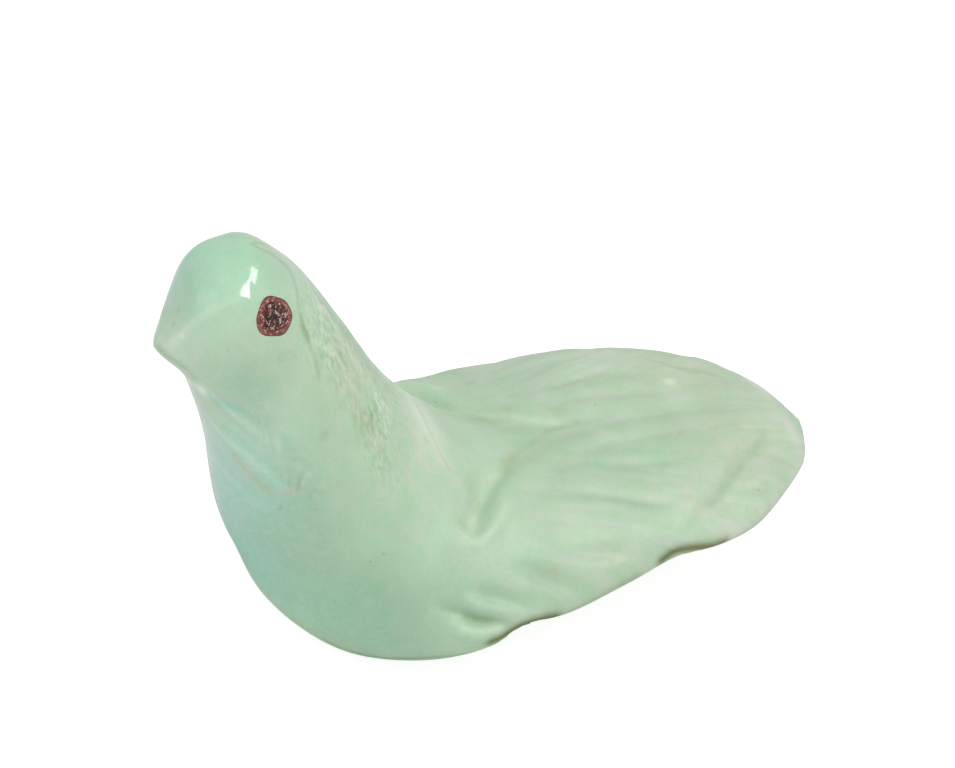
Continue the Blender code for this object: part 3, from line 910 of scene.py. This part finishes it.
# %% Streaks
# Along the feathers, from the two coordinates of the wing.
along_bird = stone.node("SeparateXYZ", {"Vector": place}, 1)
lengthwise = stone.maths("MULTIPLY", along_bird, 1 / WING_STREAK_LENGTH)
feathers = stone.node("CombineXYZ", {"X": stone.mark("feather_across"), "Y": lengthwise})
streak = stone.fade(stone.noise(feathers, WING_STREAK_WIDTH, 2.0, 0.5), 0.36, 0.64)
streak = stone.blend(streak, (0.91, 0.945, 0.895), (1.02, 0.965, 1.02))
colour = stone.tone(colour, streak, stone.mark("wing"))

# Down the neck, worn pale on the high places and only in patches.
down_neck = stone.stretch(place, (1.0, 1.0, 0.16), 33.0)
streak = stone.fade(stone.noise(down_neck, NECK_STREAK_WIDTH, 4.0, 0.65), 0.38, 0.64)
streak = stone.blend(streak, (0.79, 0.85, 0.76), (1.15, 1.09, 1.15))
patches = stone.fade(stone.noise(place, NAPE_PATCH_SIZE), 0.4, 0.58, 0.4, 1.0)
colour = stone.tone(colour, streak, stone.maths("MULTIPLY", stone.mark("nape"), patches))

# Slantwise over the breast.
over_breast = stone.stretch(place, (1.0, 0.11, 1.0), 28.0)
streak = stone.fade(stone.noise(over_breast, BREAST_STREAK_WIDTH, 3.0, 0.6), 0.38, 0.62)
streak = stone.blend(streak, (0.965, 0.98, 0.97), (1.035, 1.02, 1.03))
colour = stone.tone(colour, streak, stone.mark("breast"))
print("streaks on wings, neck and breast")

# %% Dirt and painted shade, specks and gloss
# Darker and more olive in the grooves the deeper the cut, as dirt and painted shade,
# and a brownish painted contact shadow, darker towards the base, where the bird stands.
groove_shade_and_dirt = stone.fade(stone.mark("carved_depth"), 0.2, 1.1, 0.0, 0.8)
colour = stone.tone(colour, (0.88, 0.92, 0.82), groove_shade_and_dirt)
# painted contact shadow: darker towards the base, below 0.7 mm
height = stone.node("SeparateXYZ", {"Vector": place}, 2)
contact_shade = stone.fade(height, 0.1 * MM, 0.7 * MM, 0.7, 0.0)
colour = stone.tone(colour, (0.75, 0.68, 0.7), contact_shade)

# Dark specks: cells of a Voronoi pattern, of which only a few hold a speck.
specks = stone.cells(place, SPECK_SPACING)
speck_here = stone.fade(specks.outputs["Distance"], 0.05, 0.09, 1.0, 0.0)
speck_kind = stone.node("SeparateColor", {"Color": specks.outputs["Color"]})
speck_here = stone.maths("MULTIPLY", speck_here, stone.fade(speck_kind, 0.78, 0.88, 0.0, 0.4))
colour = stone.blend(speck_here, colour, SPECK)

# Fine relief, and the clear coat on the head.
relief = stone.noise(place, RELIEF_SIZE, 4.0, 0.6)
bump = stone.node("Bump", {"Height": relief, "Distance": RELIEF_HEIGHT, "Strength": 0.5})
dull = stone.fade(stone.noise(place, DULL_SIZE, 3.0), 0.3, 0.7, 0.42, 0.52)
stone_material = stone.finish(Base_Color=colour, Roughness=dull, IOR=1.6, Normal=bump,
                              Coat_Weight=stone.mark("gloss"), Coat_Roughness=0.08, Coat_IOR=1.7,
                              Subsurface_Weight=0.2, Subsurface_Radius=(0.8, 1.0, 0.8),
                              Subsurface_Scale=0.7 * MM)
bird.data.materials.append(stone_material)
print(stone_material.name, "has", len(stone.nodes), "nodes")

# %% [markdown]
# The finish of the eyes
#
# The inlay is crushed stone or coral set in glue and ground flush: small angular
# grains in black, dark red, salmon and a few of pale grey, with a redder rim and a
# small black pit in the middle. Two Voronoi patterns, a coarse and a fine one, each
# give their cells a random number. The weighted sum of the two picks a grain's
# colour from a short list that starts at nearly black.

# %% Eyes
GRAIN_LAYERS = ((0.16 * MM, 0.6), (0.1 * MM, 0.4))  # size of the cells, share in the sum
GRAIN_COLOURS = (
    # sum from which the colour holds, colour
    (0.0, (0.008, 0.004, 0.005)),
    (0.46, (0.06, 0.02, 0.018)),
    (0.57, (0.15, 0.05, 0.04)),
    (0.66, (0.34, 0.13, 0.10)),
    (0.77, (0.55, 0.3, 0.25)),
    (0.87, (0.62, 0.5, 0.5)),
)
RIM_RED = (0.42, 0.11, 0.085)
PIT_BLACK = (0.006, 0.004, 0.005)
GLUE_BROWN = (0.05, 0.03, 0.025)
WOBBLE_SIZE = 0.25 * MM
WOBBLE_REACH = 0.05 * MM  # how far the noise shifts the borders of the grains

inlay = Recipe("crushed dark red inlay")
place = inlay.place()
wobble = inlay.noise(place, WOBBLE_SIZE, 2.0)
shift = inlay.node("VectorMath", {0: wobble, 1: (WOBBLE_REACH,) * 3}, operation="MULTIPLY")
shifted = inlay.node("VectorMath", {0: place, 1: shift}, operation="ADD")
layers = [inlay.cells(shifted, size) for size, _ in GRAIN_LAYERS]
parts = [inlay.maths("MULTIPLY", inlay.node("SeparateColor", {"Color": layer.outputs["Color"]}), share)
         for layer, (_, share) in zip(layers, GRAIN_LAYERS)]
ramp = inlay.nodes.new("ShaderNodeValToRGB")
ramp.color_ramp.interpolation = "CONSTANT"
for stop, (position, shade) in enumerate(GRAIN_COLOURS):
    point = ramp.color_ramp.elements[stop] if stop < 2 else ramp.color_ramp.elements.new(position)
    point.position = position
    point.color = (*shade, 1.0)
inlay.put(ramp.inputs["Fac"], inlay.maths("ADD", *parts))
print(len(GRAIN_COLOURS), "colours of grain")

# %% Rim, pit and gloss of the eyes
from_middle = inlay.mark("from_middle")
shade = inlay.blend(inlay.fade(from_middle, 0.6, 0.95, 0.0, 0.45), ramp.outputs["Color"], RIM_RED)
shade = inlay.blend(inlay.fade(from_middle, 0.08, 0.26, 1.0, 0.0), shade, PIT_BLACK)
shade = inlay.blend(inlay.fade(from_middle, 0.95, 0.99, 0.0, 0.7), shade, GLUE_BROWN)
grain_edges = layers[-1].outputs["Distance"]
bump = inlay.node("Bump", {"Height": grain_edges, "Distance": 0.02 * MM, "Strength": 0.6})
inlay_material = inlay.finish(Base_Color=shade, Roughness=0.3, IOR=1.5, Normal=bump)
for eye in eyes:
    eye.data.materials.append(inlay_material)
print(inlay_material.name, "has", len(inlay.nodes), "nodes")

# %% [markdown]
# Table, light and camera
#
# The bird was photographed on white. A white world lights it evenly, as a tent of
# cloth does. A broad lamp behind and above it and a narrow one at its left meet in
# the slanting highlight over the eye, and a weak one from the front fills the
# breast. A matt table throws light back at the underside, and a sheet that only the
# camera sees gives the even white ground. The camera stands where its picture of
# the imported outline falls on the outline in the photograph.

# %% Table and white ground
def plain(name, colour, roughness):
    """A material of one colour, for things that are not part of the bird."""
    return Recipe(name).finish(Base_Color=colour, Roughness=roughness)


TABLE_HALF = 2.0  # half the side of table and sheet
TABLE_DROP = 0.04 * MM
SHEET_DROP = 0.01 * MM
SHEET_GLOW = 0.85


def flat_square(name, drop):
    """A square lying just under the bird."""
    verts = np.array([(-1, -1, 0), (1, -1, 0), (1, 1, 0), (-1, 1, 0)], float) * TABLE_HALF
    verts[:, 2] = -drop
    square = mesh_object(name, verts, [[0, 1, 2, 3]])
    return square


table = flat_square("table", TABLE_DROP)
table.data.materials.append(plain("white table", (0.8, 0.8, 0.8), 0.8))
table.visible_camera = False
sheet = flat_square("sheet", SHEET_DROP)
paper = plain("white sheet", (0.35, 0.35, 0.35), 0.8)
paper_shader = paper.node_tree.nodes["Principled BSDF"]
paper_shader.inputs["Emission Color"].default_value = (1, 1, 1, 1)
paper_shader.inputs["Emission Strength"].default_value = SHEET_GLOW
sheet.data.materials.append(paper)
sheet.visible_diffuse = False
sheet.visible_glossy = False
sheet.visible_shadow = False
sheet.visible_transmission = False
print("table and sheet", 2 * TABLE_HALF, "m square")


# %% Light
def direction(azimuth, elevation):
    """Unit vector at an azimuth from -Y towards +X and an elevation, both in degrees."""
    a, e = np.radians(azimuth), np.radians(elevation)
    return np.array([np.sin(a) * np.cos(e), -np.cos(a) * np.cos(e), np.sin(e)])


def look_from(thing, azimuth, elevation, distance, target):
    """Puts a camera or lamp at target + direction * distance and turns it to the target."""
    thing.location = Vector(target) + Vector(direction(azimuth, elevation) * distance)
    thing.rotation_euler = (Vector(target) - thing.location).to_track_quat("-Z", "Y").to_euler()


def softbox(name, azimuth, elevation, width, height, power, turn):
    """A rectangular lamp that looks at the bird, turned about its own axis."""
    lamp = bpy.data.lights.new(name, "AREA")
    lamp.shape = "RECTANGLE"
    lamp.size = width
    lamp.size_y = height
    lamp.energy = power
    thing = bpy.data.objects.new(name, lamp)
    bpy.context.scene.collection.objects.link(thing)
    look_from(thing, azimuth, elevation, LAMP_DISTANCE, TARGET)
    thing.rotation_euler.rotate_axis("Z", np.radians(turn))


TARGET = np.array([0.0, -1.34, 17.88]) * MM  # the point that light and camera look at
LAMP_DISTANCE = 0.6
LAMPS = (
    # name, azimuth, elevation, width, height, power in watts, turn in degrees
    ("top", 137.0, 64.5, 0.38, 0.19, 1.15, 14.0),
    ("slit", 84.5, 45.5, 0.36, 0.035, 0.36, 70.0),
    ("front", 28.0, 15.0, 0.45, 0.45, 0.3, 0.0),
)
TENT_GLOW = 0.65

for lamp in LAMPS:
    softbox(*lamp)
world = bpy.data.worlds.new("white tent")
world.use_nodes = True
world.node_tree.nodes["Background"].inputs["Color"].default_value = (1, 1, 1, 1)
world.node_tree.nodes["Background"].inputs["Strength"].default_value = TENT_GLOW
bpy.context.scene.world = world
bpy.context.scene.view_settings.view_transform = "Standard"
print(len(LAMPS), "lamps and a white tent")

# %% Camera
CAMERA_AZIMUTH = 70.0
CAMERA_ELEVATION = 38.35
CAMERA_DISTANCE = 241.6 * MM
LENS = 120.7  # focal length in mm, on a sensor of SENSOR mm
SENSOR = 36.0
NEAR = 0.01  # nothing closer to the camera than this is drawn

camera = bpy.data.objects.new("camera", bpy.data.cameras.new("camera"))
bpy.context.scene.collection.objects.link(camera)
camera.data.lens = LENS
camera.data.sensor_width = SENSOR
camera.data.clip_start = NEAR
look_from(camera, CAMERA_AZIMUTH, CAMERA_ELEVATION, CAMERA_DISTANCE, TARGET)
bpy.context.scene.camera = camera
print("camera", round(camera.location.length / MM), "mm from the origin")
